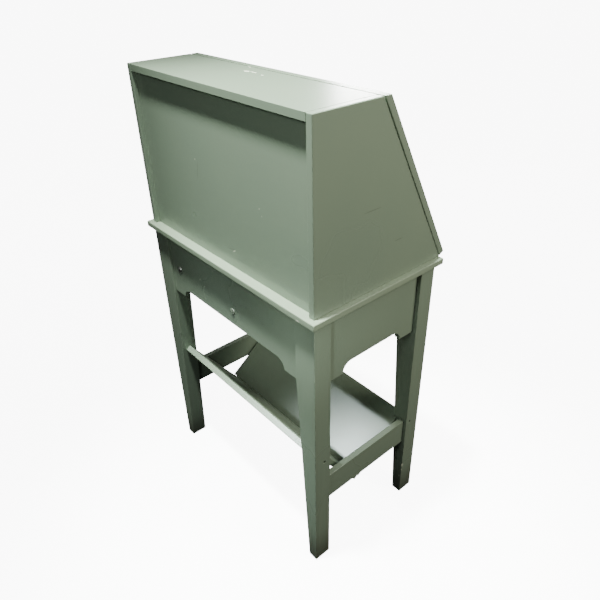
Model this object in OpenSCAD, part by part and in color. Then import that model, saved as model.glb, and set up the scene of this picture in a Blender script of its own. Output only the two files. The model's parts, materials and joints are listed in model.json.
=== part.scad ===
// Slant-front cabinet on a four-legged table base with a V-shaped book trough.
// The front faces -Y, the back faces +Y, and the floor is the plane Z = 0.
// The fall front hinges at its lower edge and opens level with the table top,
// where two pull-out lopers carry it.

/* [Table base] */
// Height of the table surface above the floor
table_h = 730; // [660:5:900]
// Width of the table top
table_w = 628; // [540:2:800]
// Depth of the table top, front to back
table_d = 382; // [330:2:480]
// Thickness of the table top
table_t = 15; // [13:0.5:22]
// How far the table top stands out past the legs and the cabinet
overhang = 12; // [8:0.5:20]
// Rounding chamfer along the rim of the table top
rim_ease = 1.5; // [0.5:0.25:3]

/* [Legs] */
// Width of a leg at the top, side to side
leg_w = 57; // [50:1:70]
// Width of a leg at the floor, side to side
leg_foot_w = 26.5; // [24:0.5:45]
// Depth of a leg, front to back
leg_d = 44.5; // [38:0.5:60]
// Chamfer round the foot of a leg
foot_ease = 2.5; // [1:0.5:6]

/* [Aprons] */
// Height of an apron between its brackets
apron_h = 142; // [110:1:170]
// Drop of the corner brackets below the apron, and the radius of their corner
bracket_drop = 24; // [10:1:35]
// Length of a corner bracket from the leg to its corner
bracket_len = 45; // [25:1:60]
// Thickness of an apron
apron_t = 15; // [12:0.5:18]
// Setback of the front and rear aprons from the legs' outer faces
apron_setback = 5.5; // [2:0.5:9]
// Setback of the side aprons from the legs' outer faces
side_apron_setback = 10; // [4:0.5:13]
// Thickness of every tenon
tenon_t = 8; // [5:0.5:10]
// Length of every tenon
tenon_len = 18; // [12:1:20]
// Height left above and below each tenon
tenon_shoulder = 12; // [6:1:18]

/* [Stretchers] */
// Height of the stretchers' lower edge above the floor
stretcher_z = 193; // [150:1:260]
// Height of a stretcher board
stretcher_h = 73; // [50:1:90]
// Thickness of a stretcher board
stretcher_t = 15; // [12:0.5:16]
// Setback of the stretchers from the legs' outer faces
stretcher_setback = 8.5; // [3:0.5:9]

/* [Book trough] */
// Slope of the front trough board, falling to the rear
trough_slope = 36.5; // [32:0.5:41]
// Distance of the trough's inner corner behind the middle of the base
trough_y = 12; // [4:1:20]
// Height of the trough's inner corner above the floor
trough_z = 158; // [140:1:190]
// Length of the front board's face, from the inner corner
trough_front_len = 201; // [196:1:214]
// Length of the rear board's face, from the inner corner
trough_rear_len = 242; // [230:1:256]
// How far the rear board runs on below the inner corner
trough_tail = 39; // [20:1:60]
// Thickness of both trough boards
trough_t = 15; // [12:0.5:18]
// Gap between the front trough board's ends and the stretchers
trough_end_gap = 8.5; // [2:0.5:12]

/* [Cabinet] */
// Height of the cabinet above the table surface
cab_h = 374; // [300:2:460]
// Depth of the cabinet's flat top
top_d = 163; // [130:1:200]
// Thickness of a side panel
side_t = 15; // [13:0.5:20]
// Thickness of the cabinet's top board
top_t = 15; // [13:0.5:20]
// Thickness of the back panel
back_t = 6; // [4:0.5:9]
// Recess of the back panel behind the sides' rear edges
back_recess = 10.5; // [4:0.5:16]
// Width and depth of the battens that hold the back panel
batten_t = 15; // [10:1:20]

/* [Fall front] */
// Thickness of the fall front
flap_t = 15; // [13:0.5:20]
// Gap between the closed fall front and the cabinet at the top
gap_top = 2.2; // [1:0.1:3]
// Gap between the closed fall front and the cabinet at the bottom
gap_bottom = 0.6; // [0.4:0.1:1]
// Distance of the hinge axis in front of the table's front edge
hinge_gap = 1.3; // [1:0.1:2]
// Distance of the fall front's lower edge from the hinge axis
flap_foot = 1.3; // [1:0.1:2]
// Distance of the knob from the hinge axis, along the fall front
knob_reach = 372; // [200:1:390]
// Greatest radius of the fall front's knob
knob_r = 13; // [9:0.5:18]
// Height of the fall front's knob
knob_h = 22; // [15:1:28]

/* [Hinges] */
// Distance of each hinge from the middle
hinge_x = 200; // [120:5:220]
// Length of a hinge along its pin
hinge_len = 50; // [40:5:70]
// Depth of a hinge leaf from the axis
leaf_d = 19; // [16:0.5:24]
// Thickness of a hinge leaf
leaf_t = 1.4; // [1:0.1:1.8]
// Radius of the hinge knuckles
knuckle_r = 2.6; // [2.3:0.1:3]
// Radius of the hinge pins
pin_r = 1.2; // [1:0.05:1.4]

/* [Lopers] */
// Distance between a loper's channel and the leg beside it
loper_gap = 6.7; // [2:0.1:60]
// Width of a loper
loper_w = 20; // [16:1:22]
// Height of a loper
loper_h = 40; // [25:1:50]
// How far a loper pulls out
loper_travel = 180; // [120:5:185]
// Thickness of the channel round a loper
channel_t = 9; // [6:0.5:10]
// Height of the rails that carry the channels' ends
rail_h = 66; // [40:1:70]
// Thickness of the rails
rail_t = 20; // [15:1:24]

/* [Fasteners] */
// Radius of the long screws through the legs into the trough
leg_screw_r = 2.5; // [2:0.1:3]
// Radius of the countersunk wood screws
wood_screw_r = 2; // [1.5:0.1:2.5]
// Radius of the small screws in the hinges and the catch
small_screw_r = 1.4; // [1.2:0.1:1.6]
// Distance of the left visible rear-apron screw from the middle
apron_screw_left_x = -19; // [-60:1:0]
// Distance of the right visible rear-apron screw from the middle
apron_screw_right_x = 209; // [150:1:215]
// Depth of the left visible rear-apron screw below the table top
apron_screw_left_drop = 105; // [65:1:110]
// Depth of the right visible rear-apron screw below the table top
apron_screw_right_drop = 90; // [65:1:110]
// Radius of the cup washers under the rear-apron screws
cup_r = 8; // [6:0.5:10]
// Radius of the dowels between the sides and the top board
dowel_r = 4; // [3:0.5:5]

/* [Clearances] */
// Clearance round glued and screwed fits
fit = 0.05; // [0.03:0.01:0.1]
// Clearance round a loper in its channel
slide_fit = 0.3; // [0.2:0.05:0.6]
// Clearance between the hinge knuckles, along the pin
knuckle_gap = 0.3; // [0.2:0.05:0.5]

/* [Hidden] */
$fn = 48;

sage = [0.50, 0.57, 0.49];
bare_wood = [0.72, 0.58, 0.40];
steel = [0.70, 0.71, 0.72];
brass = [0.72, 0.58, 0.30];
black_rubber = [0.08, 0.08, 0.08];
magnet_brown = [0.30, 0.20, 0.13];

// A little past a face, so that a cut leaves no skin
past = 1;

// The closed fall front leans back on this slope
flap_run = table_d + hinge_gap - overhang - top_d;
slope = atan2(cab_h, flap_run);

// The footprint is centred on the origin, from the table's rear rim to the fall front's nose
front_reach = hinge_gap + flap_t * sin(slope) - flap_foot * cos(slope);
y_rear = (table_d + front_reach) / 2;
y_front = y_rear - table_d;
axis_y = y_front - hinge_gap;
rear_face = y_rear - overhang;
front_face = y_front + overhang;
mid_y = (rear_face + front_face) / 2;
x_out = table_w / 2 - overhang;
leg_h = table_h - table_t;
cab_top = table_h + cab_h;

// Aprons
apron_z = leg_h - apron_h;
bracket_z = apron_z - bracket_drop;
apron_inner_y = apron_setback + apron_t;
inner_front_y = front_face + apron_inner_y;
inner_rear_y = rear_face - apron_inner_y;

// Width of a leg at height z, and the height at which its taper starts
function leg_width(z) =
    z >= bracket_z ? leg_w
    : leg_foot_w + (leg_w - leg_foot_w) * (z - foot_ease) / (bracket_z - foot_ease);

// Points in the trough's frame: q up the rear board, p up the front board
trough_tilt = 90 - trough_slope;
function in_trough_y(q, p) = mid_y + trough_y + q * cos(trough_tilt) - p * sin(trough_tilt);
function in_trough_z(q, p) = trough_z + q * sin(trough_tilt) + p * cos(trough_tilt);
trough_rear_half = x_out - leg_width(in_trough_z(trough_rear_len, 0)) - slide_fit;
trough_notch_half = x_out - leg_width(in_trough_z(0, trough_front_len)) - slide_fit;
trough_front_half = x_out - stretcher_setback - stretcher_t - trough_end_gap;

// Screws through the legs into the trough boards' ends
leg_screw_inset_rear = 16;
leg_screw_inset_front = 11;
leg_screw_bite = 25;
leg_bore_r = 4.5;
leg_bore_depth = 14;
leg_head_r = 4;
leg_head_t = 2.5;
rear_screw_q = trough_rear_len - leg_screw_inset_rear;
front_screw_p = trough_front_len - leg_screw_inset_front;
front_screw_q = -0.72 * trough_t;
rear_screw_y = in_trough_y(rear_screw_q, -trough_t / 2);
rear_screw_z = in_trough_z(rear_screw_q, -trough_t / 2);
front_screw_y = in_trough_y(front_screw_q, front_screw_p);
front_screw_z = in_trough_z(front_screw_q, front_screw_p);

// Screws up through the rear trough board into the front one's edge
seam_screw_len = 38;
seam_screw_count = 4;
seam_screw_end = 60;
seam_span = 2 * (trough_rear_half - seam_screw_end);

// Wood screw heads
head_ratio = 2;
head_r = wood_screw_r * head_ratio;
head_h = wood_screw_r * 1.2;
small_head_r = small_screw_r * 1.8;
small_head_h = 1.1;

// Glue blocks under the table top
block_len = 56;
block_t = 19;
block_x = 110;
block_screw_bite = 9;

// Cabinet
cab_inner = x_out - side_t;
panel_screw_len = 42;
panel_screw_pitch = 105;
dowel_into_side = 10;
dowel_into_top = 20;
dowel_inset = 25;
top_front_s = (cab_h + gap_top * cos(slope)) / sin(slope);
function flap_y(s, n) = axis_y + s * cos(slope) - n * sin(slope);
function flap_z(s, n) = table_h + s * sin(slope) + n * cos(slope);
function gap_at(s) = gap_bottom + (gap_top - gap_bottom) * s / top_front_s;
flap_len = cab_h / sin(slope);

// Hinges
knuckles = 5;
knuckle_pitch = hinge_len / knuckles;
knuckle_clear = 0.4;
pin_fit = 0.05;
leaf_bed = 0.1;
hinge_screw_len = 11;
hinge_screw_s = leaf_d - 6.5;
hinge_screw_pitch = 16;

// Lopers
channel_w = loper_w + 2 * (slide_fit + channel_t);
loper_x = x_out - leg_w - loper_gap - channel_w / 2;
loper_top = table_h - max(flap_t, table_t) - slide_fit;
loper_bottom = loper_top - loper_h;
channel_floor = loper_bottom - slide_fit;
channel_bottom = channel_floor - channel_t;
loper_front = front_face + apron_setback;
loper_rear = inner_rear_y - rail_t - 18;
pin_y = loper_rear - 30;
loper_pin_r = 3;
loper_pin_bite = 15;
loper_knob_r = 7;
loper_knob_h = 12;
spigot_r = 2.5;
spigot_len = 12;

// Rear-apron screws and their cup washers
apron_screw_len = 30;
cup_h = 2.2;
cup_head_r = 5;

// Fall-front knob, buffers and catch
knob_screw_len = 26;
knob_foot_r = 7;
buffer_r = 5;
buffer_s = 330;
catch_x = 120;
catch_w = 40;
catch_d = 26;
catch_h = 11;
catch_gap = 0.5;
catch_screw_len = 20;
strike_t = 1;
strike_w = 30;
strike_len = 15;
strike_s = (cab_h - top_t - catch_h / 2) / sin(slope);

// ---------------------------------------------------------------- helpers

// Extrudes an outline drawn in (Y, Z) along X, centred on the middle
module along_x(w) {
    rotate([90, 0, 90]) linear_extrude(height = w, center = true) children();
}

// A box given by its low and high corners
module span(low, high) {
    translate(low) cube(high - low);
}

// Local frame of one leg: X runs inwards from its side face, Y inwards from its front or rear face
module at_leg(side, end) {
    translate([side * x_out, end > 0 ? rear_face : front_face, 0])
        mirror([side > 0 ? 1 : 0, 0, 0])
            mirror([0, end > 0 ? 1 : 0, 0])
                children();
}

// Frame of the trough: Y runs up the rear board, Z up the front board
module in_trough() {
    translate([0, mid_y + trough_y, trough_z]) rotate([trough_tilt, 0, 0]) children();
}

// Frame of the closed fall front: Y runs up its inner face, Z points out of its outer face
module in_flap() {
    translate([0, axis_y, table_h]) rotate([slope, 0, 0]) children();
}

// Countersunk screw, head flush with Z = 0, pointing down, with room round it for a hole
module screw(r, head, height, length, room = 0) {
    translate([0, 0, -height]) cylinder(r1 = r + room, r2 = head + room, h = height);
    translate([0, 0, -length]) cylinder(r = r + room, h = length - height);
    translate([0, 0, -length - r]) cylinder(r1 = r / 4, r2 = r + room, h = r);
}

// The same screw with its slot
module slotted_screw(r, head, height, length) {
    difference() {
        screw(r, head, height, length);
        translate([-head - past, -head / 8, -height / 2]) cube([2 * (head + past), head / 4, height]);
    }
}

module wood_screw(length) {
    slotted_screw(wood_screw_r, head_r, head_h, length);
}

module wood_screw_hole(length) {
    screw(wood_screw_r, head_r, head_h, length + fit, fit);
}

module small_screw(length) {
    slotted_screw(small_screw_r, small_head_r, small_head_h, length);
}

module small_screw_hole(length) {
    screw(small_screw_r, small_head_r, small_head_h, length + fit, fit);
}

// ---------------------------------------------------------------- table base

module table_top() {
    color(sage) difference() {
        intersection() {
            along_x(table_w) rim_outline(y_front, table_d);
            translate([0, y_rear, 0]) rotate([90, 0, 0]) linear_extrude(height = table_d)
                rim_outline(-table_w / 2, table_w);
        }
        for (side = [-1, 1]) hinge_bed(side * hinge_x) {
            span([-hinge_len / 2 - leaf_bed, hinge_gap, -leaf_t],
                 [hinge_len / 2 + leaf_bed, leaf_d + leaf_bed, past]);
        }
        at_hinge_table_screws() small_screw_hole(hinge_screw_len);
        at_panel_screws() wood_screw_hole(panel_screw_len);
        at_block_screws() translate([0, 0, block_t]) wood_screw_shank_hole(block_screw_bite);
    }
}

// Outline of the table top's edge with both corners eased
module rim_outline(start, length) {
    end = start + length;
    polygon([
        [start, leg_h + rim_ease], [start + rim_ease, leg_h],
        [end - rim_ease, leg_h], [end, leg_h + rim_ease],
        [end, table_h - rim_ease], [end - rim_ease, table_h],
        [start + rim_ease, table_h], [start, table_h - rim_ease]
    ]);
}

// Room for a hinge's knuckles and for its leaf, in the table's corner
module hinge_bed(x) {
    translate([x, axis_y, table_h]) {
        rotate([0, 90, 0])
            cylinder(r = knuckle_r + knuckle_clear, h = hinge_len + 2 * leaf_bed, center = true);
        children();
    }
}

// Blind hole for the shank of a wood screw, going up from Z = 0
module wood_screw_shank_hole(depth) {
    cylinder(r = wood_screw_r + fit, h = depth + 2 * wood_screw_r);
}

module leg(side, end) {
    color(sage) at_leg(side, end) difference() {
        intersection() {
            translate([0, leg_d, 0]) rotate([90, 0, 0]) linear_extrude(height = leg_d) polygon([
                [0, foot_ease], [foot_ease, 0],
                [leg_foot_w - foot_ease, 0], [leg_foot_w, foot_ease],
                [leg_w, bracket_z], [leg_w, leg_h], [0, leg_h]
            ]);
            rotate([90, 0, 90]) linear_extrude(height = leg_w) polygon([
                [0, foot_ease], [foot_ease, 0],
                [leg_d - foot_ease, 0], [leg_d, foot_ease],
                [leg_d, leg_h], [0, leg_h]
            ]);
        }
        // Mortises for the front or rear apron, the side apron and the stretcher
        span([leg_w - tenon_len - fit, apron_setback + (apron_t - tenon_t) / 2 - fit, apron_tenon_low - fit],
             [leg_w + past, apron_setback + (apron_t + tenon_t) / 2 + fit, apron_tenon_high + fit]);
        span([side_apron_setback + (apron_t - tenon_t) / 2 - fit, leg_d - tenon_len - fit,
              apron_tenon_low - fit],
             [side_apron_setback + (apron_t + tenon_t) / 2 + fit, leg_d + past, apron_tenon_high + fit]);
        span([stretcher_setback + (stretcher_t - tenon_t) / 2 - fit, leg_d - tenon_len - fit,
              stretcher_z + tenon_shoulder - fit],
             [stretcher_setback + (stretcher_t + tenon_t) / 2 + fit, leg_d + past,
              stretcher_z + stretcher_h - tenon_shoulder + fit]);
        // Counterbored hole for the screw into the trough
        at_leg_screw(end) {
            cylinder(r = leg_screw_r + fit, h = leg_w);
            translate([0, 0, -past]) cylinder(r = leg_bore_r, h = leg_bore_depth + past);
        }
    }
}

apron_tenon_low = bracket_z + tenon_shoulder;
apron_tenon_high = leg_h - tenon_shoulder;

// Axis of the trough screw in a leg's frame, Z pointing inwards from the leg's side face
module at_leg_screw(end) {
    screw_y = end > 0 ? rear_face - rear_screw_y : front_screw_y - front_face;
    translate([0, screw_y, end > 0 ? rear_screw_z : front_screw_z]) rotate([0, 90, 0]) children();
}

// Outline of an apron: a straight board whose lower edge steps down to a bracket at each leg
module apron_outline(length) {
    void_half = length / 2 - bracket_len;
    difference() {
        translate([-length / 2, bracket_z]) square([length, leg_h - bracket_z]);
        translate([-void_half + bracket_drop, bracket_z - past])
            square([2 * (void_half - bracket_drop), bracket_drop + past]);
        for (end = [-1, 1])
            translate([end * (void_half - bracket_drop), bracket_z]) circle(r = bracket_drop);
    }
}

// A board with a tenon on each end, lying along X, its outer face at Y = 0
module tenoned_apron(length) {
    translate([0, apron_t, 0]) rotate([90, 0, 0]) linear_extrude(height = apron_t) apron_outline(length);
    for (end = [-1, 1]) {
        translate([end * (length + tenon_len) / 2, apron_t / 2, (apron_tenon_low + apron_tenon_high) / 2])
            cube([tenon_len, tenon_t, apron_tenon_high - apron_tenon_low], center = true);
    }
}

cross_len = 2 * (x_out - leg_w);
side_len = rear_face - front_face - 2 * leg_d;

module apron_front() {
    color(sage) difference() {
        translate([0, front_face + apron_setback, 0]) tenoned_apron(cross_len);
        for (side = [-1, 1]) {
            span([side * loper_x - loper_w / 2 - slide_fit, front_face, channel_floor],
                 [side * loper_x + loper_w / 2 + slide_fit, inner_front_y + past, leg_h + past]);
        }
    }
}

module apron_rear() {
    color(sage) difference() {
        translate([0, rear_face - apron_setback, 0]) mirror([0, 1, 0]) tenoned_apron(cross_len);
        at_apron_screws() {
            translate([0, 0, -apron_t - past]) cylinder(r = wood_screw_r + fit, h = apron_t + 2 * past);
        }
    }
}

module apron_side(side) {
    color(sage) translate([side * (x_out - side_apron_setback), mid_y, 0])
        rotate([0, 0, side * 90]) tenoned_apron(side_len);
}

module stretcher(side) {
    x_mid = side * (x_out - stretcher_setback - stretcher_t / 2);
    color(sage) {
        translate([x_mid, mid_y, stretcher_z + stretcher_h / 2]) {
            cube([stretcher_t, side_len, stretcher_h], center = true);
            cube([tenon_t, side_len + 2 * tenon_len, stretcher_h - 2 * tenon_shoulder], center = true);
        }
    }
}

// ---------------------------------------------------------------- book trough

module trough_front_board() {
    color(sage) difference() {
        in_trough() span([-trough_front_half, -trough_t, 0], [trough_front_half, 0, trough_front_len]);
        at_seam_screws() wood_screw_hole(seam_screw_len);
        for (side = [-1, 1]) {
            at_leg(side, -1) at_leg_screw(-1) cylinder(r = leg_screw_r + fit, h = leg_screw_tip(-1) + fit);
            // Notch for the front leg
            at_leg(side, -1) span([0, -past, stretcher_z], [x_out - trough_notch_half, leg_d + slide_fit, leg_h]);
        }
    }
}

module trough_rear_board() {
    color(sage) difference() {
        in_trough() span([-trough_rear_half, -trough_tail, -trough_t], [trough_rear_half, trough_rear_len, 0]);
        at_seam_screws() wood_screw_hole(seam_screw_len);
        for (side = [-1, 1])
            at_leg(side, 1) at_leg_screw(1) cylinder(r = leg_screw_r + fit, h = leg_screw_tip(1) + fit);
    }
}

// Depth of a leg screw's tip from the leg's outer side face
function leg_screw_tip(end) = x_out - (end > 0 ? trough_rear_half : trough_notch_half) + leg_screw_bite;

module trough_end_screws() {
    color(steel) for (side = [-1, 1], end = [-1, 1]) {
        at_leg(side, end) at_leg_screw(end) difference() {
            union() {
                translate([0, 0, leg_bore_depth - leg_head_t]) cylinder(r = leg_head_r, h = leg_head_t);
                translate([0, 0, leg_bore_depth])
                    cylinder(r = leg_screw_r, h = leg_screw_tip(end) - leg_bore_depth);
            }
            translate([-leg_bore_r, -0.5, leg_bore_depth - leg_head_t - past])
                cube([2 * leg_bore_r, 1, past + leg_head_t / 2]);
        }
    }
}

module at_seam_screws() {
    in_trough() for (i = [0 : seam_screw_count - 1]) {
        translate([-seam_span / 2 + i * seam_span / (seam_screw_count - 1), -trough_t / 2, -trough_t])
            mirror([0, 0, 1]) children();
    }
}

module trough_seam_screws() {
    color(steel) at_seam_screws() wood_screw(seam_screw_len);
}

// ---------------------------------------------------------------- under the table top

// Glue blocks: two behind each long apron and one behind each side apron
module at_blocks() {
    for (x = [-block_x, block_x]) {
        translate([x, inner_rear_y - block_t / 2, 0]) children();
        translate([x, inner_front_y + block_t / 2, 0]) children();
    }
    for (side = [-1, 1])
        translate([side * (x_out - side_apron_setback - apron_t - block_t / 2), mid_y, 0])
            rotate([0, 0, 90]) children();
}

module at_block_screws() {
    at_blocks() translate([0, 0, leg_h - block_t]) children();
}

module top_blocks() {
    color(bare_wood) difference() {
        at_blocks() translate([0, 0, leg_h - block_t / 2]) cube([block_len, block_t, block_t], center = true);
        at_block_screws() mirror([0, 0, 1]) wood_screw_hole(block_t + block_screw_bite);
    }
}

module top_block_screws() {
    color(steel) at_block_screws() mirror([0, 0, 1]) wood_screw(block_t + block_screw_bite);
}

// Rails on the inside of the front and rear aprons, under the loper channels
module rail_front() {
    color(bare_wood) span([-cross_len / 2, inner_front_y, channel_bottom - rail_h],
                          [cross_len / 2, inner_front_y + rail_t, channel_bottom]);
}

module rail_rear() {
    color(bare_wood) difference() {
        span([-cross_len / 2, inner_rear_y - rail_t, channel_bottom - rail_h],
             [cross_len / 2, inner_rear_y, channel_bottom]);
        at_apron_screws() translate([0, 0, cup_h]) screw(wood_screw_r, cup_head_r, cup_h, apron_screw_len + fit, fit);
    }
}

// The two screws that show on the rear apron's outer face
module at_apron_screws() {
    for (at = [[apron_screw_left_x, apron_screw_left_drop], [apron_screw_right_x, apron_screw_right_drop]])
        translate([at[0], rear_face - apron_setback, leg_h - at[1]]) rotate([-90, 0, 0]) children();
}

module apron_screws() {
    color(steel) at_apron_screws() translate([0, 0, cup_h])
        slotted_screw(wood_screw_r, cup_head_r, cup_h, apron_screw_len);
}

module apron_cup_washers() {
    color(steel) at_apron_screws() difference() {
        rotate_extrude() polygon([
            [0, 0], [cup_r, 0], [cup_r - 0.8, cup_h * 0.7], [cup_r - 2, cup_h], [0, cup_h]
        ]);
        translate([0, 0, cup_h]) screw(wood_screw_r, cup_head_r, cup_h, cup_h + past, fit);
        translate([0, 0, cup_h]) cylinder(r = cup_head_r + fit, h = past);
    }
}

module loper_channel(side) {
    color(bare_wood) translate([side * loper_x, 0, 0]) difference() {
        span([-channel_w / 2, inner_front_y, channel_bottom], [channel_w / 2, inner_rear_y, leg_h]);
        span([-loper_w / 2 - slide_fit, inner_front_y - past, channel_floor],
             [loper_w / 2 + slide_fit, inner_rear_y + past, leg_h + past]);
        // Slot for the stop pin
        span([-loper_pin_r - slide_fit, pin_y - loper_travel - loper_pin_r - slide_fit, channel_bottom - past],
             [loper_pin_r + slide_fit, pin_y + loper_pin_r + slide_fit, channel_floor + past]);
    }
}

module loper(side) {
    color(bare_wood) translate([side * loper_x, 0, 0]) difference() {
        span([-loper_w / 2, loper_front, loper_bottom], [loper_w / 2, loper_rear, loper_top]);
        translate([0, pin_y, loper_bottom - past]) cylinder(r = loper_pin_r + fit, h = loper_pin_bite + past + fit);
        translate([0, loper_front - past, loper_top - loper_h / 2]) rotate([-90, 0, 0])
            cylinder(r = spigot_r + fit, h = spigot_len + past + fit);
    }
}

module loper_pin(side) {
    color(bare_wood) translate([side * loper_x, pin_y, channel_bottom])
        cylinder(r = loper_pin_r, h = loper_bottom - channel_bottom + loper_pin_bite);
}

module loper_knob(side) {
    color(brass) translate([side * loper_x, loper_front, loper_top - loper_h / 2]) rotate([90, 0, 0]) {
        rotate_extrude() polygon([
            [0, -spigot_len], [spigot_r, -spigot_len], [spigot_r, 0],
            [loper_knob_r * 0.65, 0], [loper_knob_r * 0.5, loper_knob_h * 0.35],
            [loper_knob_r * 0.9, loper_knob_h * 0.55], [loper_knob_r, loper_knob_h * 0.75],
            [loper_knob_r * 0.8, loper_knob_h * 0.95], [loper_knob_r * 0.4, loper_knob_h], [0, loper_knob_h]
        ]);
    }
}

// ---------------------------------------------------------------- cabinet

// Side view of the cabinet: a vertical rear edge, a level top and a sloping front edge
module cabinet_outline() {
    intersection() {
        polygon([
            [rear_face, table_h], [rear_face, cab_top],
            [flap_y(top_front_s, -gap_top), flap_z(top_front_s, -gap_top)],
            [flap_y(0, -gap_bottom), flap_z(0, -gap_bottom)]
        ]);
        translate([y_front, table_h]) square([table_d, cab_h]);
    }
}

module side_panel(side) {
    color(sage) difference() {
        translate([side * (x_out - side_t / 2), 0, 0]) along_x(side_t) cabinet_outline();
        at_top_dowels() cylinder(r = dowel_r + fit, h = 2 * (dowel_into_side + fit), center = true);
        at_panel_screws() wood_screw_hole(panel_screw_len);
    }
}

module cabinet_top() {
    color(sage) difference() {
        along_x(2 * cab_inner) intersection() {
            cabinet_outline();
            translate([y_front, cab_top - top_t]) square([table_d, top_t]);
        }
        at_top_dowels() cylinder(r = dowel_r + fit, h = 2 * (dowel_into_top + fit), center = true);
        at_catch_screws() small_screw_hole(catch_screw_len);
    }
}

module cabinet_back() {
    color(sage) span([-cab_inner, rear_face - back_recess - back_t, table_h],
                     [cab_inner, rear_face - back_recess, cab_top - top_t]);
}

// Dowel axes, each at the joint between a side panel and the top board
module at_top_dowels() {
    first = rear_face - dowel_inset;
    last = flap_y(top_front_s, 0) + dowel_inset + top_t;
    for (side = [-1, 1], y = [last, (first + last) / 2, first])
        translate([side * cab_inner, y, cab_top - top_t / 2]) rotate([0, side * 90, 0]) children();
}

module top_dowels() {
    color(bare_wood) at_top_dowels()
        translate([0, 0, -dowel_into_top]) cylinder(r = dowel_r, h = dowel_into_top + dowel_into_side);
}

// Screws up through the table top into the side panels' lower edges
module at_panel_screws() {
    for (side = [-1, 1], row = [-1, 0, 1])
        translate([side * (x_out - side_t / 2), mid_y + row * panel_screw_pitch, leg_h])
            mirror([0, 0, 1]) children();
}

module side_panel_screws() {
    color(steel) at_panel_screws() wood_screw(panel_screw_len);
}

// Battens round the back panel's inner face: two uprights and two rails between them
module back_battens() {
    front = rear_face - back_recess - back_t - batten_t;
    color(bare_wood) {
        for (side = [-1, 1])
            translate([side * (cab_inner - batten_t / 2), front + batten_t / 2, table_h + (cab_h - top_t) / 2])
                cube([batten_t, batten_t, cab_h - top_t], center = true);
        for (z = [table_h, cab_top - top_t - batten_t])
            span([-cab_inner + batten_t, front, z], [cab_inner - batten_t, front + batten_t, z + batten_t]);
    }
}

module flap_buffers() {
    color(black_rubber) in_flap() for (side = [-1, 1])
        translate([side * (x_out - side_t / 2), buffer_s, -gap_at(buffer_s) + fit])
            cylinder(r = buffer_r, h = gap_at(buffer_s) - slide_fit - fit);
}

// ---------------------------------------------------------------- fall front

module fall_front() {
    top_trim = flap_t / tan(slope);
    color(sage) difference() {
        in_flap() difference() {
            along_x(2 * x_out) polygon([
                [flap_foot, 0], [flap_len, 0], [flap_len - top_trim, flap_t], [flap_foot, flap_t]
            ]);
            translate([0, knob_reach, -past]) cylinder(r = wood_screw_r + fit, h = flap_t + 2 * past);
            translate([0, knob_reach, 0]) mirror([0, 0, 1]) wood_screw_hole(knob_screw_len);
            for (side = [-1, 1]) translate([side * hinge_x, 0, 0]) {
                rotate([0, 90, 0])
                    cylinder(r = knuckle_r + knuckle_clear, h = hinge_len + 2 * leaf_bed, center = true);
                span([-hinge_len / 2 - leaf_bed, 0, -past],
                     [hinge_len / 2 + leaf_bed, leaf_d + leaf_bed, leaf_t]);
            }
        }
        at_hinge_flap_screws() small_screw_hole(hinge_screw_len);
        at_strike_screw() small_screw_hole(hinge_screw_len);
    }
}

module flap_knob() {
    color(brass) in_flap() translate([0, knob_reach, flap_t]) difference() {
        rotate_extrude() polygon([
            [0, 0], [knob_foot_r, 0], [knob_foot_r, 1.5], [knob_foot_r * 0.7, knob_h * 0.3],
            [knob_r * 0.85, knob_h * 0.5], [knob_r, knob_h * 0.68], [knob_r * 0.92, knob_h * 0.85],
            [knob_r * 0.6, knob_h * 0.97], [0, knob_h]
        ]);
        translate([0, 0, -past])
            cylinder(r = wood_screw_r + fit, h = knob_screw_len - flap_t + wood_screw_r + past + fit);
    }
}

module flap_knob_screw() {
    color(steel) in_flap() translate([0, knob_reach, 0]) mirror([0, 0, 1]) wood_screw(knob_screw_len);
}

// ---------------------------------------------------------------- hinges

// One leaf lying on its own frame's Y axis, with the knuckles whose numbers it owns
module hinge_leaf(own) {
    difference() {
        union() {
            span([-hinge_len / 2, knuckle_r + knuckle_clear, 0], [hinge_len / 2, leaf_d, leaf_t]);
            for (i = own) translate([-hinge_len / 2 + (i + 0.5) * knuckle_pitch, 0, 0]) {
                rotate([0, 90, 0]) cylinder(r = knuckle_r, h = knuckle_pitch - knuckle_gap, center = true);
                span([-(knuckle_pitch - knuckle_gap) / 2, 0, 0],
                     [(knuckle_pitch - knuckle_gap) / 2, knuckle_r + 2 * knuckle_clear, leaf_t]);
            }
        }
        rotate([0, 90, 0]) cylinder(r = pin_r + pin_fit, h = hinge_len + 2 * past, center = true);
    }
}

// Table leaf: laid face down, so that its top is level with the table surface
module hinge_table_leaves() {
    color(brass) difference() {
        for (side = [-1, 1]) translate([side * hinge_x, axis_y, table_h])
            mirror([0, 0, 1]) hinge_leaf([0, 2, 4]);
        at_hinge_table_screws() small_screw_hole(hinge_screw_len);
    }
}

module hinge_flap_leaves() {
    color(brass) difference() {
        in_flap() for (side = [-1, 1]) translate([side * hinge_x, 0, 0]) hinge_leaf([1, 3]);
        at_hinge_flap_screws() small_screw_hole(hinge_screw_len);
    }
}

module hinge_pins() {
    color(steel) for (side = [-1, 1])
        translate([side * hinge_x, axis_y, table_h]) rotate([0, 90, 0])
            cylinder(r = pin_r, h = hinge_len, center = true);
}

module at_hinge_table_screws() {
    for (side = [-1, 1], i = [-1, 0, 1])
        translate([side * hinge_x + i * hinge_screw_pitch, axis_y + hinge_screw_s, table_h]) children();
}

module at_hinge_flap_screws() {
    in_flap() for (side = [-1, 1], i = [-1, 0, 1])
        translate([side * hinge_x + i * hinge_screw_pitch, hinge_screw_s, 0]) mirror([0, 0, 1]) children();
}

module hinge_table_screws() {
    color(brass) at_hinge_table_screws() small_screw(hinge_screw_len);
}

module hinge_flap_screws() {
    color(brass) at_hinge_flap_screws() small_screw(hinge_screw_len);
}

// ---------------------------------------------------------------- magnetic catch

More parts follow.
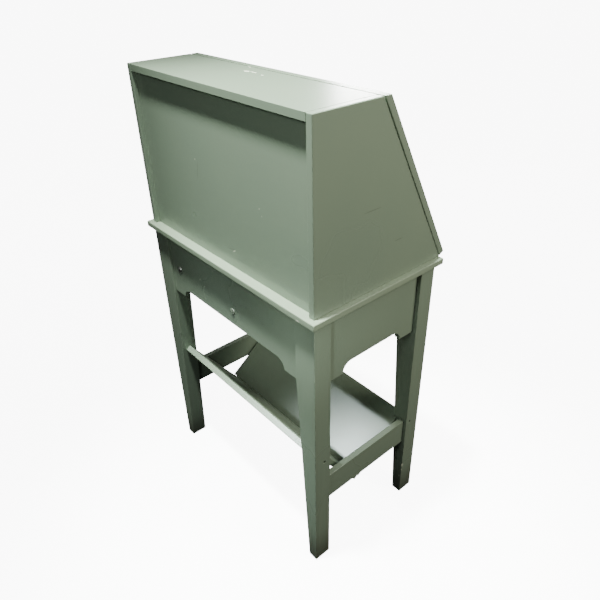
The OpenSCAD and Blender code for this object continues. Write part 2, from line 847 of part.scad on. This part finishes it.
module catch_body() {
    catch_front = -strike_t - catch_gap;
    low_s = (cab_h - top_t - catch_h - catch_front * cos(slope)) / sin(slope);
    high_s = (cab_h - top_t - catch_front * cos(slope)) / sin(slope);
    color(magnet_brown) difference() {
        translate([catch_x, 0, 0]) along_x(catch_w) polygon([
            [flap_y(low_s, catch_front), flap_z(low_s, catch_front)],
            [flap_y(high_s, catch_front), flap_z(high_s, catch_front)],
            [flap_y(high_s, catch_front) + catch_d, cab_top - top_t],
            [flap_y(high_s, catch_front) + catch_d, cab_top - top_t - catch_h]
        ]);
        at_catch_screws() small_screw_hole(catch_screw_len);
    }
}

module at_catch_screws() {
    for (i = [-1, 1])
        translate([catch_x + i * catch_w / 3, flap_y(strike_s, 0) + catch_d * 0.7, cab_top - top_t - catch_h])
            mirror([0, 0, 1]) children();
}

module catch_screws() {
    color(steel) at_catch_screws() small_screw(catch_screw_len);
}

module at_strike_screw() {
    in_flap() translate([catch_x, strike_s, -strike_t]) mirror([0, 0, 1]) children();
}

module catch_strike() {
    color(steel) difference() {
        in_flap() span([catch_x - strike_w / 2, strike_s - strike_len / 2, -strike_t],
                       [catch_x + strike_w / 2, strike_s + strike_len / 2, 0]);
        at_strike_screw() small_screw_hole(hinge_screw_len);
    }
}

module catch_strike_screw() {
    color(steel) at_strike_screw() small_screw(hinge_screw_len);
}

// ---------------------------------------------------------------- nodes

table_top();
leg(-1, -1);  // leg_front_left
leg(1, -1);  // leg_front_right
leg(-1, 1);  // leg_rear_left
leg(1, 1);  // leg_rear_right
apron_front();
apron_rear();
apron_side(-1);  // apron_left
apron_side(1);  // apron_right
stretcher(-1);  // stretcher_left
stretcher(1);  // stretcher_right
trough_front_board();
trough_rear_board();
trough_end_screws();
trough_seam_screws();
top_blocks();
top_block_screws();
rail_front();
rail_rear();
apron_screws();
apron_cup_washers();
loper_channel(-1);  // loper_channel_left
loper_channel(1);  // loper_channel_right
loper(-1);  // loper_left
loper(1);  // loper_right
loper_knob(-1);  // loper_knob_left
loper_knob(1);  // loper_knob_right
loper_pin(-1);  // loper_pin_left
loper_pin(1);  // loper_pin_right
side_panel(-1);  // side_panel_left
side_panel(1);  // side_panel_right
cabinet_top();
cabinet_back();
top_dowels();
side_panel_screws();
back_battens();
flap_buffers();
fall_front();
flap_knob();
flap_knob_screw();
hinge_table_leaves();
hinge_flap_leaves();
hinge_pins();
hinge_table_screws();
hinge_flap_screws();
catch_body();
catch_screws();
catch_strike();
catch_strike_screw();
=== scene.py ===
"""Slant-front writing cabinet on a tapered-leg stand, painted grey-green.

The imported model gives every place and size. The painted boards are eased
copies of its solids, so that their edges catch the light, and each one carries
its distances from its own edges for the wear in the paint.
"""

import json
import math

import bpy
import numpy as np
from mathutils import Matrix, Vector

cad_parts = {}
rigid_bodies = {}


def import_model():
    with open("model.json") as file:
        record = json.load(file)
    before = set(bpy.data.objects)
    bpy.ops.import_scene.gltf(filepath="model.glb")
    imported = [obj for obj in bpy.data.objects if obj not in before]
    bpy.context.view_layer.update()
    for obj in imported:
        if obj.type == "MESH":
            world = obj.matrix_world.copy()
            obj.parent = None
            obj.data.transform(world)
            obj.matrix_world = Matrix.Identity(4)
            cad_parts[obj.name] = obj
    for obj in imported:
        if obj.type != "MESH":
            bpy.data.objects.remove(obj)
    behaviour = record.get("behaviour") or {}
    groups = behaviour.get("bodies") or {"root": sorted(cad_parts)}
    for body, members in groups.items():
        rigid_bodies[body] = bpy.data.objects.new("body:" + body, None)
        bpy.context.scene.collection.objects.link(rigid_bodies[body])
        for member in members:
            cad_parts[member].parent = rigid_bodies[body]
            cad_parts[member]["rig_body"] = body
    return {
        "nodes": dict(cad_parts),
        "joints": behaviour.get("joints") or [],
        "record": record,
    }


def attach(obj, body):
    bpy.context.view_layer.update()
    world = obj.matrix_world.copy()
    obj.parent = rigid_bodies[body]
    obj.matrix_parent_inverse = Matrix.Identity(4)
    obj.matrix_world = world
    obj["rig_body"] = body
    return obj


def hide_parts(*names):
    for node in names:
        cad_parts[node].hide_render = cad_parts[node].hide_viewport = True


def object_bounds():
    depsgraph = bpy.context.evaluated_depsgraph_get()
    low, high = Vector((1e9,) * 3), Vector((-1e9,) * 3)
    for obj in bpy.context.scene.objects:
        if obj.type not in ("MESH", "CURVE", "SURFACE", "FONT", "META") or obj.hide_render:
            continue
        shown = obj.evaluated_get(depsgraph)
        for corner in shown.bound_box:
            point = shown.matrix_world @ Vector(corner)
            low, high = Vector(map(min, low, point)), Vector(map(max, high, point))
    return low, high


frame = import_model()
cad_low, cad_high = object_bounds()
MM = 0.001

# How far a ragged pattern pushes the outline of a dab in and out
RAGGED = 1.6


# ---------------------------------------------------------------- shader helper

class Value:
    """A shader socket that works in Python expressions."""

    def __init__(self, tree, socket):
        self.tree = tree
        self.socket = socket

    def feed(self, socket, value):
        """Links a value to a node's input, or sets the input to a plain number or colour."""
        if isinstance(value, Value):
            self.tree.links.new(value.socket, socket)
        else:
            socket.default_value = value

    def node(self, kind, settings=None, out=0, **inputs):
        """Adds a node; an underscore in an input's name stands for a space, and i2 is input 2."""
        made = self.tree.nodes.new(kind)
        for name, setting in (settings or {}).items():
            setattr(made, name, setting)
        for name, value in inputs.items():
            numbered = name[0] == "i" and name[1:].isdigit()
            key = int(name[1:]) if numbered else name.replace("_", " ")
            self.feed(made.inputs[key], value)
        return Value(self.tree, made.outputs[out])

    def math(self, operation, first, second=0.0):
        return self.node("ShaderNodeMath", {"operation": operation}, i0=first, i1=second)

    def __add__(self, other):
        return self.math("ADD", self, other)

    def __sub__(self, other):
        return self.math("SUBTRACT", self, other)

    def __rsub__(self, other):
        return self.math("SUBTRACT", other, self)

    def __mul__(self, other):
        return self.math("MULTIPLY", self, other)

    __radd__ = __add__
    __rmul__ = __mul__

    def least(self, other):
        return self.math("MINIMUM", self, other)

    def most(self, other):
        return self.math("MAXIMUM", self, other)

    def ramp(self, low, high, start=0.0, end=1.0):
        """Goes smoothly from start at low to end at high."""
        return self.node("ShaderNodeMapRange", {"interpolation_type": "SMOOTHSTEP"},
                         Value=self, From_Min=low, From_Max=high, To_Min=start, To_Max=end)

    def mix(self, first, second):
        """Colour that goes from first to second as this value goes from 0 to 1."""
        return self.node("ShaderNodeMix", {"data_type": "RGBA"}, out=2,
                         i0=self, i6=first, i7=second)


class Finish(Value):
    """A new material, with its Object coordinates to hand."""

    def __init__(self, name):
        self.material = bpy.data.materials.new(name)
        self.material.use_nodes = True
        tree = self.material.node_tree
        super().__init__(tree, None)
        self.shader = tree.nodes["Principled BSDF"]
        self.place = self.node("ShaderNodeTexCoord", out=3)

    def set(self, **inputs):
        """Sets the shader's inputs; an underscore in a name stands for a space."""
        for name, value in inputs.items():
            self.feed(self.shader.inputs[name.replace("_", " ")], value)

    def noise(self, scale, detail=4.0, roughness=0.5, stretch=(1, 1, 1)):
        place = self.node("ShaderNodeMapping", Vector=self.place, Scale=stretch)
        return self.node("ShaderNodeTexNoise", {"normalize": True}, Vector=place,
                         Scale=scale, Detail=detail, Roughness=roughness)

    def parts(self, vector):
        """The X, Y and Z of a vector."""
        first = self.node("ShaderNodeSeparateXYZ", Vector=vector)
        return [Value(self.tree, socket) for socket in first.socket.node.outputs]

    def attribute(self, name):
        return self.node("ShaderNodeAttribute", {"attribute_name": name}, out=1)

    def bump(self, height, strength, distance):
        return self.node("ShaderNodeBump", Height=height, Strength=strength, Distance=distance)

    def dab(self, centre, reach, turn=0.0, ragged=None):
        """1 inside a small lozenge about a place in millimetres, 0 outside it."""
        near = self.node("ShaderNodeMapping", {"vector_type": "TEXTURE"}, Vector=self.place,
                         Location=[c * MM for c in centre], Rotation=(0.0, turn, 0.0),
                         Scale=[r * MM for r in reach])
        away = self.node("ShaderNodeVectorMath", {"operation": "LENGTH"}, out=1, i0=near)
        if ragged is not None:
            away = away + (ragged - 0.5) * RAGGED
        return away.ramp(0.75, 1.0, 1.0, 0.0)


def linear(red, green, blue):
    """Scene colour of a display colour given out of 255."""
    return tuple(((c / 255 + 0.055) / 1.055) ** 2.4 if c > 10 else c / 255 / 12.92
                 for c in (red, green, blue)) + (1.0,)


# ---------------------------------------------------------------- finishes

PAINT = linear(128, 141, 122)
PAINT_THIN = linear(123, 137, 120)
# A lighter copy of the paint for the table top: painted light, for the bounce and reflection that
# brighten it
PAINTED_LIGHT_PAINT = linear(142, 156, 133)
PAINTED_LIGHT_PAINT_THIN = linear(136, 149, 130)
PRIMER = linear(205, 208, 190)
BARE = linear(186, 160, 120)
DARK_TONE = linear(52, 48, 40)
CLEAN_STEEL = linear(214, 214, 208)
PINE = linear(158, 122, 80)
PINE_PALE = linear(196, 164, 118)
PINE_GRAIN = linear(118, 84, 52)

# How fast the wear in the paint fades away from an edge, per metre
WEAR_FADE = 260.0

# Height over the floor up to which the paint is darker towards the feet
DARKER_BELOW = 120 * MM

# Places in millimetres where the paint is knocked through to the primer: centre, reach, turn
KNOCKS = (
    ((34, 60, 1104), (9, 5, 3), 0.0), ((14, 57, 1104), (12, 2.5, 3), 0.0),
    ((-20, 62, 1104), (4, 2.5, 3), 0.0), ((64, 30, 1104), (5, 2, 3), 0.0),
    ((77, 175, 941), (1.2, 3, 2.5), 0.0), ((-139, 175, 897), (1.4, 3, 1.6), 0.0),
    ((-146, 175, 884), (1.0, 3, 1.2), 0.0), ((-41, 175, 771), (7, 3, 1.6), 0.5),
    ((113, 180, 637), (1.6, 3, 2.6), 0.0), ((95, 180, 625), (1.6, 3, 1.6), 0.0),
    ((-303, -128, 108), (4, 4, 7), 0.0), ((-303, -128, 90), (3, 3, 4), 0.0),
    ((-296, -128, 62), (2.5, 3, 3), 0.0), ((-268, 198, 718), (6, 3, 3), 0.0),
    ((300, 186, 12), (5, 5, 9), 0.0), ((-262, 186, 20), (3, 3, 6), 0.0),
)

# Scratches that dent the paint without breaking it
SCRATCHES = (
    ((71, 175, 918), (0.9, 3, 26), -0.22), ((-55, 180, 642), (3.0, 3, 1.8), 0.0),
    ((-73, 180, 645), (3.6, 3, 1.2), 0.7), ((-30, 175, 772), (18, 3, 1.0), 0.16),
    ((-302, 40, 905), (3, 26, 0.8), 0.0), ((-302, -40, 820), (3, 14, 0.8), 0.0),
)


def strongest(masks):
    """On wherever one of the masks is on."""
    whole = masks[0]
    for mask in masks[1:]:
        whole = whole.most(mask)
    return whole


def edge_distance(f):
    """Distance along a board's face to its nearest edge."""
    low = f.parts(f.attribute("from_low"))
    high = f.parts(f.attribute("from_high"))
    gaps = [a.least(b) for a, b in zip(low, high)]
    # Of the three distances the least is the depth under the face, so the middle one is meant
    return gaps[0].least(gaps[1]).most(gaps[0].most(gaps[1]).least(gaps[2]))


def paint(name, full, thin):
    """Satin paint, brushed and rolled, worn at the edges and darker towards the feet."""
    f = Finish(name)
    broad = f.noise(3.2, 3.0)
    patch = f.noise(9.0, 2.0)
    cloud = f.noise(14.0, 5.0, 0.6)
    stroke = f.noise(60.0, 4.0, 0.6, stretch=(0.12, 1, 1))
    chip = f.noise(95.0, 6.0, 0.72)
    grit = f.noise(420.0, 3.0, 0.65)

    flaking = chip - edge_distance(f) * WEAR_FADE
    worn = (flaking + patch.ramp(0.50, 0.72, 0.0, 0.16)).ramp(0.60, 0.63)
    bare = worn * flaking.ramp(0.60, 0.66) * patch.ramp(0.45, 0.6)
    worn = strongest([worn] + [f.dab(*knock, ragged=chip) for knock in KNOCKS])
    dent = strongest([f.dab(*scratch) for scratch in SCRATCHES])
    up = f.parts(f.place)[2]
    # The paint is darker towards the feet, most near the floor
    darker_low = (up + (cloud - 0.5) * 0.05).ramp(0.0, DARKER_BELOW, 0.7, 0.0)

    colour = (broad * 0.7 + cloud * 0.3).ramp(0.2, 0.8).mix(thin, full)
    colour = worn.mix(colour, PRIMER)
    colour = bare.mix(colour, BARE)
    colour = (dent * 0.35).mix(colour, DARK_TONE)
    colour = darker_low.mix(colour, DARK_TONE)
    rough = broad.ramp(0.3, 0.7, 0.27, 0.30) + worn * 0.25 + darker_low * 0.3
    height = stroke * 0.5 + grit * 0.35 - worn * 1.4 - dent * 1.5
    f.set(Base_Color=colour, Roughness=rough, IOR=1.5,
          Normal=f.bump(height, 0.22, 0.0004))
    return f.material


def painted_steel(name):
    """Steel painted over with the boards: mostly bare to the right, only chipped to the left."""
    f = Finish(name)
    along = f.parts(f.place)[0]
    chip = f.noise(240.0, 5.0, 0.7)
    bare = (chip + along.ramp(0.0, 0.15, 0.0, 0.45)).ramp(0.52, 0.58)
    f.set(Base_Color=bare.mix(PAINT, CLEAN_STEEL), Metallic=bare,
          Roughness=chip.ramp(0.3, 0.7, 0.30, 0.42), Normal=f.bump(bare * -1.0, 0.3, 0.0003))
    return f.material


def bare_pine(name):
    """Bare pine with its grain from front to back, as on the lopers."""
    f = Finish(name)
    grain = f.noise(110.0, 5.0, 0.6, stretch=(1, 0.07, 1))
    bands = f.noise(26.0, 3.0, 0.5, stretch=(1, 0.07, 1))
    colour = bands.ramp(0.35, 0.65).mix(PINE_PALE, PINE)
    colour = grain.ramp(0.45, 0.75, 0.0, 0.5).mix(colour, PINE_GRAIN)
    f.set(Base_Color=colour, Roughness=grain.ramp(0.3, 0.7, 0.55, 0.72),
          Normal=f.bump(grain, 0.3, 0.0004))
    return f.material


def metal(name, colour, dull, rough):
    """Drawn or turned metal, dulled in clouds."""
    f = Finish(name)
    cloud = f.noise(300.0, 4.0, 0.6)
    lines = f.noise(900.0, 2.0, 0.5, stretch=(1, 1, 0.1))
    f.set(Base_Color=cloud.ramp(0.45, 0.7).mix(colour, dull), Metallic=1.0,
          Roughness=cloud.ramp(0.3, 0.7, rough, rough + 0.18),
          Normal=f.bump(lines, 0.15, 0.0001))
    return f.material


def moulded(name, colour, light, rough, scale):
    """Moulded rubber or plastic with a fine grain."""
    f = Finish(name)
    grain = f.noise(scale, 4.0, 0.6)
    f.set(Base_Color=grain.ramp(0.3, 0.75).mix(colour, light),
          Roughness=grain.ramp(0.3, 0.7, rough, rough + 0.12),
          Normal=f.bump(grain, 0.25, 0.0003))
    return f.material


FINISHES = {
    "green_paint": paint("painted wood", PAINT, PAINT_THIN),
    "bare_wood": bare_pine("bare pine"),
    "steel": metal("dulled steel", linear(196, 198, 200), linear(120, 118, 112), 0.28),
    "brass": metal("aged brass", linear(198, 166, 96), linear(126, 98, 54), 0.30),
    "rubber": moulded("black rubber", linear(24, 24, 24), linear(52, 52, 50), 0.6, 500.0),
    "brown_plastic": moulded("brown plastic", linear(72, 50, 34), linear(92, 66, 46), 0.42, 700.0),
}

slots = {part["node"]: part["material_slot"] for part in frame["record"]["subparts"]}
# The table top gets the lighter copy of the paint, which is painted light
own_finish = {"table_top": paint("paint with painted light", PAINTED_LIGHT_PAINT, PAINTED_LIGHT_PAINT_THIN)}
own_finish["apron_cup_washers"] = own_finish["apron_screws"] = painted_steel("painted steel")
for node, thing in frame["nodes"].items():
    thing.data.materials.clear()
    thing.data.materials.append(own_finish.get(node, FINISHES[slots[node]]))


# ---------------------------------------------------------------- eased boards

# Roundness of the long edges, in millimetres
EASES = {
    "table_top": 1.2, "side_panel_left": 1.8, "side_panel_right": 1.8,
    "cabinet_top": 0.6, "cabinet_back": 0.4,
    "leg_front_left": 1.2, "leg_front_right": 1.2, "leg_rear_left": 1.2, "leg_rear_right": 1.2,
    "apron_front": 0.8, "apron_rear": 0.8, "apron_left": 0.8, "apron_right": 0.8,
    "stretcher_left": 1.0, "stretcher_right": 1.0, "loper_left": 0.8, "loper_right": 0.8,
    "fall_front": 1.2, "trough_front_board": 1.2, "trough_rear_board": 1.2,
}

# Shorter edges, such as those round a screw hole, stay sharp
LONG_EDGE = 12 * MM

# Points nearer than this are one point
WELD = 0.01 * MM

# Least angle at which two faces of a board meet in an edge that is eased
CORNER = math.radians(25)

# Least angle at which an edge is shaded as a crease
CREASE = math.radians(28)

# Faces that differ by less than this are one flat face
FLAT = math.radians(0.5)


def deselect():
    for thing in bpy.context.selected_objects:
        thing.select_set(False)


def keep_distances(mesh, turn):
    """Stores how far each point is from the low and the high sides of the board's own box."""
    points = np.array([v.co for v in mesh.vertices])
    own = points @ np.array(Matrix.Rotation(-turn, 3, "X")).T
    for name, values in (("from_low", own - own.min(0)), ("from_high", own.max(0) - own)):
        layer = mesh.attributes.new(name, "FLOAT_VECTOR", "POINT")
        layer.data.foreach_set("vector", values.astype(np.float32).ravel())


def eased(node, ease, turn):
    """A copy of a board with its long edges rounded, in the board's place."""
    source = frame["nodes"][node]
    board = bpy.data.objects.new("board_" + node, source.data.copy())
    bpy.context.scene.collection.objects.link(board)
    deselect()
    board.select_set(True)
    bpy.context.view_layer.objects.active = board
    bpy.ops.object.mode_set(mode="EDIT")
    bpy.ops.mesh.select_all(action="SELECT")
    bpy.ops.mesh.remove_doubles(threshold=WELD)
    bpy.ops.mesh.dissolve_limited(angle_limit=FLAT)
    bpy.ops.mesh.select_mode(type="EDGE")
    bpy.ops.mesh.select_all(action="DESELECT")
    bpy.ops.mesh.edges_select_sharp(sharpness=CORNER)
    bpy.ops.object.mode_set(mode="OBJECT")
    points = board.data.vertices
    for line in board.data.edges:
        start, end = line.vertices
        line.select = line.select and (points[start].co - points[end].co).length > LONG_EDGE
    bpy.ops.object.mode_set(mode="EDIT")
    bpy.ops.mesh.bevel(offset=ease, segments=3, affect="EDGES", clamp_overlap=False)
    bpy.ops.mesh.select_all(action="SELECT")
    bpy.ops.mesh.remove_doubles(threshold=WELD)
    bpy.ops.object.mode_set(mode="OBJECT")
    bpy.ops.object.shade_smooth_by_angle(angle=CREASE)
    bpy.ops.object.modifier_add(type="WEIGHTED_NORMAL")
    board.modifiers[-1].keep_sharp = True
    bpy.ops.object.modifier_apply(modifier=board.modifiers[-1].name)
    keep_distances(board.data, turn)
    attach(board, source["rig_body"])
    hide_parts(node)


# Turns of the sloping boards about X. The trough boards meet square, so that one turn does for both
joints = {joint["name"]: joint for joint in frame["joints"]}
fall_front_turn = math.pi - math.radians(joints["flap_hinge"]["range_deg"][1])
trough_turn = math.radians(53.5)
turns = {"fall_front": fall_front_turn,
         "trough_front_board": trough_turn, "trough_rear_board": trough_turn}

for node, ease in EASES.items():
    eased(node, ease * MM, turns.get(node, 0.0))


# ---------------------------------------------------------------- floor, light and camera

# Brightness of the floor and of what is seen beyond it
BACKDROP = 9.0
FLOOR_SIDE = 90.0

# Brightness that reaches the cabinet from the walls low down and from the ceiling
WALL_GLOW = 0.010
CEILING_GLOW = 0.18


def lamp(name, place, aim, size, power, colour, cone=None):
    """A soft rectangular lamp, or a spotlight where a cone in degrees is given."""
    if cone:
        data = bpy.data.lights.new(name, "SPOT")
        data.spot_size = math.radians(cone)
        data.spot_blend = 1.0
        data.shadow_soft_size = size[0] / 2
    else:
        data = bpy.data.lights.new(name, "AREA")
        data.shape = "RECTANGLE"
        data.size, data.size_y = size
    data.energy = power
    data.color = colour
    light = bpy.data.objects.new(name, data)
    bpy.context.scene.collection.objects.link(light)
    light.location = place
    light.rotation_euler = (Vector(aim) - Vector(place)).to_track_quat("-Z", "Y").to_euler()


def pale_floor():
    """A bright floor that neither lights the stand nor shows in its paint."""
    deselect()
    bpy.ops.mesh.primitive_plane_add(size=FLOOR_SIDE, location=(0, 0, cad_low.z))
    floor = bpy.context.object
    floor.name = "floor"
    f = Finish("pale floor")
    f.set(Base_Color=(0.86, 0.86, 0.86, 1), Roughness=0.9,
          Emission_Color=(1, 1, 1, 1), Emission_Strength=BACKDROP)
    floor.data.materials.append(f.material)
    floor.visible_diffuse = False
    floor.visible_glossy = False


def room_glow():
    """Faint light from the walls and the ceiling, in front of a backdrop as bright as the floor."""
    world = bpy.data.worlds.new("studio")
    world.use_nodes = True
    bpy.context.scene.world = world
    sky = Value(world.node_tree, None)
    height = sky.node("ShaderNodeSeparateXYZ", Vector=sky.node("ShaderNodeTexCoord"), out=2)
    seen = sky.node("ShaderNodeLightPath")
    glow = height.ramp(-0.1, 0.9, WALL_GLOW, CEILING_GLOW) * (1 - seen) + seen * BACKDROP
    shade = world.node_tree.nodes["Background"]
    sky.feed(shade.inputs["Strength"], glow)
    sky.feed(shade.inputs["Color"], (1.0, 1.0, 0.97, 1))


def lamps():
    """The lamps, in metres and watts."""
    lamp("overhead", (-0.12, 0.57, 3.2), (-0.22, 0.2, 0.7), (0.2, 0.2), 1350,
         (0.91, 1.0, 0.94), cone=34)
    lamp("rear lamp", (2.64, 3.51, 4.30), (-0.275, -0.03, 0.16), (0.26, 0.26), 1400,
         (0.88, 1.0, 1.0), cone=4.1)
    lamp("window", (1.80, -2.13, 1.75), (0.0, 0.0, 0.9), (0.34, 0.22), 26, (1.0, 1.0, 0.98))
    lamp("side lamp", (-1.9, -0.8, 2.1), (-0.3, 0, 0.8), (0.6, 0.6), 51, (1.0, 0.98, 0.86))
    lamp("rear fill", (-0.6, 1.1, 1.6), (-0.1, 0.2, 0.7), (0.4, 0.4), 5, (0.9, 1.0, 0.95))
    lamp("corner lamp", (-0.75, 1.05, 0.8), (-0.24, 0.17, 0.65), (0.2, 0.2), 40,
         (0.9, 1.0, 0.97), cone=13)


def three_quarter_camera():
    """Three-quarter view from behind, above the left rear leg."""
    data = bpy.data.cameras.new("camera")
    camera = bpy.data.objects.new("camera", data)
    bpy.context.scene.collection.objects.link(camera)
    bpy.context.scene.camera = camera
    middle = (cad_low + cad_high) / 2
    around, above, away = math.radians(231.28), math.radians(32.52), 1.4358
    camera.location = middle + away * Vector((math.sin(around) * math.cos(above),
                                              -math.cos(around) * math.cos(above),
                                              math.sin(above)))
    heading, pitch, roll = math.radians(130.54), math.radians(31.88), math.radians(-1.18)
    ahead = Vector((math.sin(heading) * math.cos(pitch),
                    math.cos(heading) * math.cos(pitch),
                    -math.sin(pitch)))
    right = ahead.cross(Vector((0, 0, 1))).normalized()
    up = right.cross(ahead)
    right, up = (right * math.cos(roll) + up * math.sin(roll),
                 up * math.cos(roll) - right * math.sin(roll))
    camera.rotation_euler = Matrix((right, up, -ahead)).transposed().to_euler()
    data.sensor_width = 36.0
    data.lens = 34.142
    data.shift_x = -0.0072
    data.shift_y = -0.0103


pale_floor()
room_glow()
lamps()
three_quarter_camera()
